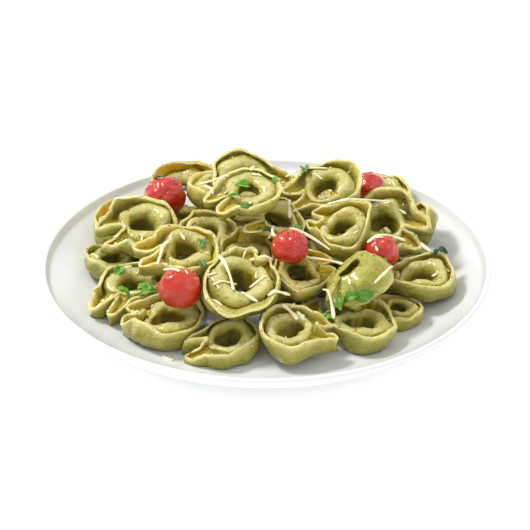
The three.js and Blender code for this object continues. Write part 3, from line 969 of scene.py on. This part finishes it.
def leaf_shape(length, dice):
    """A torn piece of basil leaf: a thin solid, folded along its rib, crumpled, with an uneven edge."""
    rows, across = 17, 13
    s = np.linspace(-1, 1, rows)[:, None]  # from the tip to the stalk
    t = np.linspace(-1, 1, across)[None, :]
    half = 0.5 * length
    blade = 0.5 * (1 - np.abs(s) ** 2.4) ** 0.7 * (1 - 0.25 * s)
    torn = 1 + 0.10 * np.sin(5 * s + dice.uniform(0, 6)) * np.sign(t)
    torn = torn + 0.05 * np.sin(17 * s + dice.uniform(0, 6))
    x = half * s * (1 - 0.2 * t ** 2)
    y = half * dice.uniform(0.8, 1.1) * blade * t * torn
    fold = dice.uniform(0.3, 0.7)
    z = fold * np.abs(y) - dice.uniform(0.2, 0.5) * half * s ** 2
    z = z - 0.3 * np.exp(-(t / 0.12) ** 2)
    offset = Vector((dice.uniform(0, 99), 0, 0))
    crumple = [noise.noise(Vector((a / 2.4, b / 2.4, 0)) + offset) for a, b in zip(x.ravel(), y.ravel())]
    z = z + 0.12 * length * np.reshape(crumple, z.shape)
    top = np.stack([x, y, z], -1).reshape(-1, 3)
    points = np.vstack([top + [0, 0, LEAF_THICKNESS / 2], top - [0, 0, LEAF_THICKNESS / 2]])
    n = rows * across
    faces = []
    for i in range(rows - 1):
        for j in range(across - 1):
            a = i * across + j
            faces.append((a, a + across, a + across + 1, a + 1))
            faces.append((n + a, n + a + 1, n + a + across + 1, n + a + across))
    edge = list(range(across)) + [i * across + across - 1 for i in range(1, rows)]
    edge += [(rows - 1) * across + j for j in range(across - 2, -1, -1)]
    edge += [i * across for i in range(rows - 2, 0, -1)]
    for k, a in enumerate(edge):
        b = edge[(k + 1) % len(edge)]
        faces.append((a, b, n + b, n + a))
    return points, faces


def crumb_shape(size, flat, dice):
    """A rough little lump, or a flake when it is flat."""
    count = 7
    turn = np.arange(count) * TURN / count
    r = np.array([dice.uniform(0.6, 1.2) for _ in turn]) * size / 2
    ring = np.column_stack([r * np.cos(turn), r * np.sin(turn) * dice.uniform(0.5, 1), 0 * turn])
    h = size * flat / 2
    points = np.vstack([ring * [0.75, 0.75, 1] + [0, 0, h], ring, ring * [0.7, 0.7, 1] - [0, 0, h]])
    faces = [tuple(range(count)), tuple(range(2 * count, 3 * count))[::-1]]
    for level in (0, count):
        for j in range(count):
            k = (j + 1) % count
            faces.append((level + j, level + count + j, level + count + k, level + k))
    return points, faces


def laid(points, place, normal, heading, lift, dice):
    """Points turned to lie on a surface, with some tilt."""
    lean = Vector((dice.uniform(-TILT, TILT), dice.uniform(-TILT, TILT), dice.uniform(0, TILT)))
    aim = (normal + lean).normalized()
    turn = Vector((0, 0, 1)).rotation_difference(aim).to_matrix() @ Matrix.Rotation(heading, 3, "Z")
    return points @ np.array(turn).T + np.array(place + aim * lift)


def scatter(surface, count, size, flat, dice, steepest=0.25):
    """Small bits dropped all over the heap, where it isn't too steep for them to stay."""
    low, high = heap_range()
    parts = []
    while len(parts) < count:
        place, normal, on_food = surface.under(dice.uniform(low[0], high[0]), dice.uniform(low[1], high[1]))
        if not on_food or normal.z < steepest:
            continue
        bit = dice.uniform(*size)
        points, faces = crumb_shape(bit, flat, dice)
        heading = dice.uniform(0, TURN)
        parts.append((laid(points, place, normal, heading, 0.2 * bit * flat, dice), faces))
    return parts


def build_cheese(surface):
    """Long shreds where they belong, then short ones and crumbs all over."""
    dice = random.Random(3)
    shreds = [
        strip(surface, on_node(a, u, v), on_node(b, u2, v2), dice.uniform(*LONG_WIDTH), LONG_THICKNESS, dice)
        for a, u, v, b, u2, v2 in SHREDS
    ]
    low, high = heap_range()
    while len(shreds) < len(SHREDS) + SHORT_SHREDS:
        x, y = dice.uniform(low[0], high[0]), dice.uniform(low[1], high[1])
        _, normal, on_food = surface.under(x, y)
        if on_food and normal.z > 0.35:
            turn, length = dice.uniform(0, TURN), 1.5 + 6 * dice.random() ** 2.5
            end = (x + length * math.cos(turn), y + length * math.sin(turn))
            shreds.append(strip(surface, (x, y), end, dice.uniform(*SHORT_WIDTH), SHORT_THICKNESS, dice))
    shreds += scatter(surface, CRUMBS, CRUMB_SIZE, CRUMB_FLATNESS, dice, steepest=0.1)
    stands_for(mesh_object("cheese_shreds", *joined(shreds), cheese_crumb(), smooth=False), "cheese")


def build_basil(surface):
    dice = random.Random(5)
    leaves, wilt = [], []
    for node, u, v, length, wilted in LEAVES:
        x, y = on_node(node, u, v)
        held, normal = surface.perch(x, y, 0.25 * length)
        place = Vector((x, y, held.z))
        points, faces = leaf_shape(LEAF_SCALE * length, dice)
        leaves.append((laid(points, place, normal, dice.uniform(0, TURN), 0.6, dice), faces))
        wilt += [wilted] * len(points)
    basil = mesh_object("basil_leaves", *joined(leaves), leaf())
    attribute(basil, "wilt", wilt)
    stands_for(basil, "basil")


def build_toppings(solids):
    surface = Surface(solids)
    build_cheese(surface)
    build_basil(surface)
    for name, slot, look, seed, count, size, flat in SPRINKLED:
        bits = scatter(surface, count, size, flat, random.Random(seed))
        stands_for(mesh_object(name, *joined(bits), look(), smooth=False), slot)


# ---- Camera, light and table ----
# Lengths here are in metres.

CAMERA_LENS, CAMERA_SENSOR = 132.6, 36  # millimetres
CAMERA_ELEVATION = math.radians(29.34)
CAMERA_DISTANCE = 1.1  # from the middle of the plate's rim
CAMERA_AIM = (-0.00056, 0, -0.0047)  # from there
TABLE_HALF = 4.0
WORLD_STRENGTH = 0.88


def look_from(thing, place, target):
    """Puts a camera or a light at a place, facing the target."""
    thing.location = place
    thing.rotation_euler = (Vector(target) - Vector(place)).to_track_quat("-Z", "Y").to_euler()


def build_camera():
    data = bpy.data.cameras.new("camera")
    data.lens = CAMERA_LENS
    data.sensor_width = CAMERA_SENSOR
    camera = in_scene("camera", data)
    rim = PLATE_HEIGHT * MM
    back, up = CAMERA_DISTANCE * math.cos(CAMERA_ELEVATION), CAMERA_DISTANCE * math.sin(CAMERA_ELEVATION)
    look_from(camera, (0, -back, rim + up), (CAMERA_AIM[0], CAMERA_AIM[1], rim + CAMERA_AIM[2]))
    bpy.context.scene.camera = camera


def area_light(name, place, target, size, power, colour):
    data = bpy.data.lights.new(name, "AREA")
    data.shape = "DISK"
    data.size = size
    data.energy = power
    data.color = colour
    look_from(in_scene(name, data), place, target)


def build_studio():
    corners = np.array([(-1, -1, 0), (1, -1, 0), (1, 1, 0), (-1, 1, 0)]) * TABLE_HALF / MM
    floor = mesh_object("table_top", corners, [(0, 1, 2, 3)], table())
    floor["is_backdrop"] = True
    middle = (0, 0, 0.03)
    area_light("key", (-0.72, 0.34, 1.08), middle, size=0.30, power=13.5, colour=(1.0, 0.99, 0.97))
    area_light("right_fill", (1.15, -0.35, 0.85), middle, size=0.8, power=1.8, colour=(1.0, 1.0, 0.99))
    world = bpy.data.worlds.new("studio")
    world.use_nodes = True
    background = world.node_tree.nodes["Background"]
    background.inputs["Color"].default_value = (1, 1, 1, 1)
    background.inputs["Strength"].default_value = WORLD_STRENGTH
    bpy.context.scene.world = world
    bpy.context.scene.view_settings.view_transform = "Standard"


build_camera()
build_studio()
build_plate()
build_toppings(build_heap())

boxes = {"cad": CAD_BOX, "visual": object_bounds()}
boxes = {key: [[float(v) for v in corner] for corner in box] for key, box in boxes.items()}
